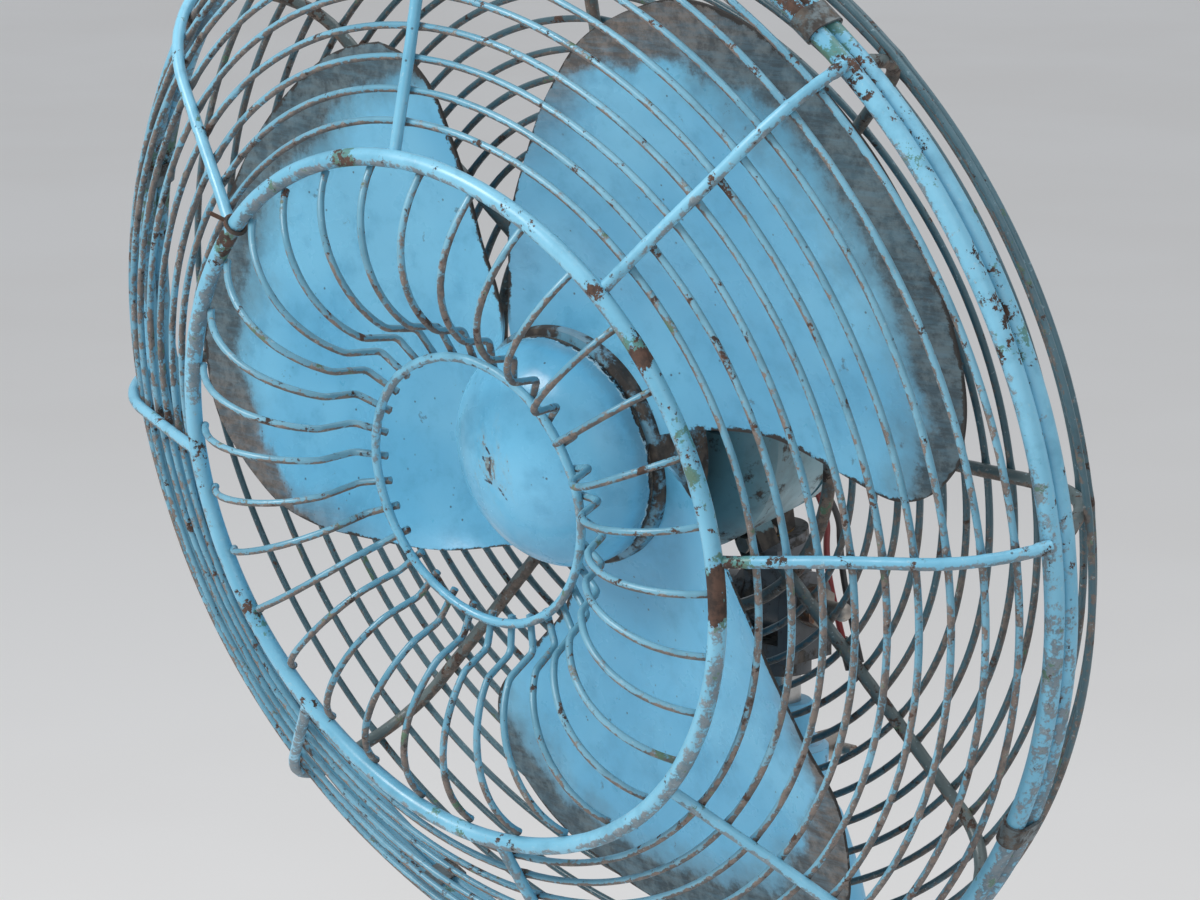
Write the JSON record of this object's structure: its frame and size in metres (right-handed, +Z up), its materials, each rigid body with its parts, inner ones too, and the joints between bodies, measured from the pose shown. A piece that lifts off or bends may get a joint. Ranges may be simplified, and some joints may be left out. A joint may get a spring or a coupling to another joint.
{
  "type": "pedestal fan",
  "caption": "Floor-standing oscillating fan: round base, telescopic pole, tilting motor head, cambered blades in a two-part wire guard.",
  "frame": {"origin": "on the floor at the centre of the round base", "axes": "+Z up, the fan blows towards -Y, +X is the tilt hinge"},
  "size_m": [0.4578, 0.45, 1.2031],
  "materials": {
    "enamel_blue": "aged glossy sky-blue enamel, chipped and rusty at the edges",
    "enamel_wire": "sky-blue enamel on steel wire, worn to rust on the crests",
    "enamel_rear": "dirty dark blue-green enamel on steel wire",
    "cast_iron": "dark grimy casting with remains of paint",
    "steel_tube": "sky-blue enamel on steel tube",
    "steel_bare": "dull bare steel with brown rust",
    "steel_shaft": "ground steel, oiled",
    "rusty_wire": "rusted iron wire",
    "bronze": "oiled bearing bronze",
    "copper_winding": "varnished copper wire",
    "laminations": "stacked electrical steel",
    "rubber_black": "old black rubber, dusty",
    "bakelite": "worn black bakelite",
    "insulation_red": "dusty red lead insulation",
    "insulation_black": "dusty black lead insulation"
  },
  "bodies": {
    "stand": {"base_plate": "enamel_blue", "rubber_feet": "rubber_black", "pole_socket": "enamel_blue", "socket_bolts": "steel_bare", "outer_pole": "steel_tube", "pole_collar": "enamel_blue", "control_housing": "enamel_blue", "control_base": "enamel_blue", "speed_regulator": "bakelite", "dial_plate": "steel_bare", "cable_gland": "rubber_black"},
    "height_screw": {"height_screw": "steel_bare"},
    "control_knob": {"control_knob": "bakelite"},
    "mast": {"inner_pole": "steel_shaft", "mast_guide": "bronze", "tilt_fork": "cast_iron", "tilt_bolt": "steel_bare"},
    "tilt_wing_nut": {"tilt_wing_nut": "cast_iron"},
    "tilt_head": {"tilt_block": "cast_iron", "swivel_stud": "steel_shaft", "thrust_washer": "bronze"},
    "link_arm": {"link_arm": "steel_bare"},
    "head": {"motor_front_shell": "enamel_blue", "motor_rear_shell": "enamel_blue", "motor_bolts": "steel_bare", "stator_core": "laminations", "stator_windings": "copper_winding", "front_bearing": "bronze", "rear_bearing": "bronze", "gear_housing": "enamel_blue", "gear_cover": "enamel_blue", "head_screws": "steel_bare", "front_guard_hoop": "enamel_wire", "rear_guard_hoop": "enamel_wire", "front_guard_rings": "enamel_wire", "front_guard_spokes": "enamel_wire", "mid_ring": "enamel_wire", "medallion_wires": "enamel_wire", "medallion_ring": "enamel_wire", "rear_guard_rings": "enamel_rear", "rear_guard_spokes": "enamel_rear", "mount_hoop": "enamel_rear", "guard_brackets": "enamel_rear", "guard_clips": "steel_bare", "wire_tie": "rusty_wire", "lead_grommet": "rubber_black", "motor_lead_red": "insulation_red", "motor_lead_black": "insulation_black", "lead_sleeve": "rubber_black"},
    "rotor": {"motor_shaft": "steel_shaft", "rotor_core": "laminations", "blade_hub": "enamel_blue", "blade_1": "enamel_blue", "blade_2": "enamel_blue", "blade_3": "enamel_blue", "spinner": "enamel_blue"},
    "crank": {"crank_spindle": "steel_bare", "worm_wheel": "bronze"},
    "clutch_knob": {"clutch_knob": "steel_bare"}
  },
  "joints": [
    {"name": "height_screw_turn", "type": "hinge", "parent": "stand", "child": "height_screw", "pos_m": [0, 0.028, 0.836], "axis": [0, 1, 0], "range_deg": [-180, 180]},
    {"name": "speed_knob_turn", "type": "hinge", "parent": "stand", "child": "control_knob", "pos_m": [0, -0.05, 0.7], "axis": [0, -1, 0], "range_deg": [0, 240]},
    {"name": "height_slide", "type": "slide", "parent": "stand", "child": "mast", "axis": [0, 0, 1], "range_m": [0, 0.25]},
    {"name": "wing_nut_turn", "type": "hinge", "parent": "mast", "child": "tilt_wing_nut", "pos_m": [-0.02, 0, 0.9], "axis": [1, 0, 0], "range_deg": [-180, 180]},
    {"name": "tilt", "type": "hinge", "parent": "mast", "child": "tilt_head", "pos_m": [0, 0, 0.9], "axis": [1, 0, 0], "range_deg": [-26, 0]},
    {"name": "link_swing", "type": "hinge", "parent": "tilt_head", "child": "link_arm", "pos_m": [-0.016, -0.00583, 0.93055], "axis": [0, -0.1874, 0.9823], "range_deg": [-15, 15]},
    {"name": "oscillation", "type": "hinge", "parent": "tilt_head", "child": "head", "pos_m": [0, -0.00731, 0.93831], "axis": [0, -0.1874, 0.9823], "range_deg": [-40, 40]},
    {"name": "blade_spin", "type": "hinge", "parent": "head", "child": "rotor", "pos_m": [0, -0.10499, 0.98076], "axis": [0, 0.9823, 0.1874], "continuous": true},
    {"name": "crank_turn", "type": "hinge", "parent": "head", "child": "crank", "pos_m": [-0.019, 0.01681, 1.00399], "axis": [0, -0.1874, 0.9823], "continuous": true},
    {"name": "clutch_pull", "type": "slide", "parent": "head", "child": "clutch_knob", "axis": [0, -0.1874, 0.9823], "range_m": [0, 0.008]}
  ],
  "couplings": [
    {"joint": "crank_turn", "follows": "blade_spin", "ratio": -0.035714}
  ]
}
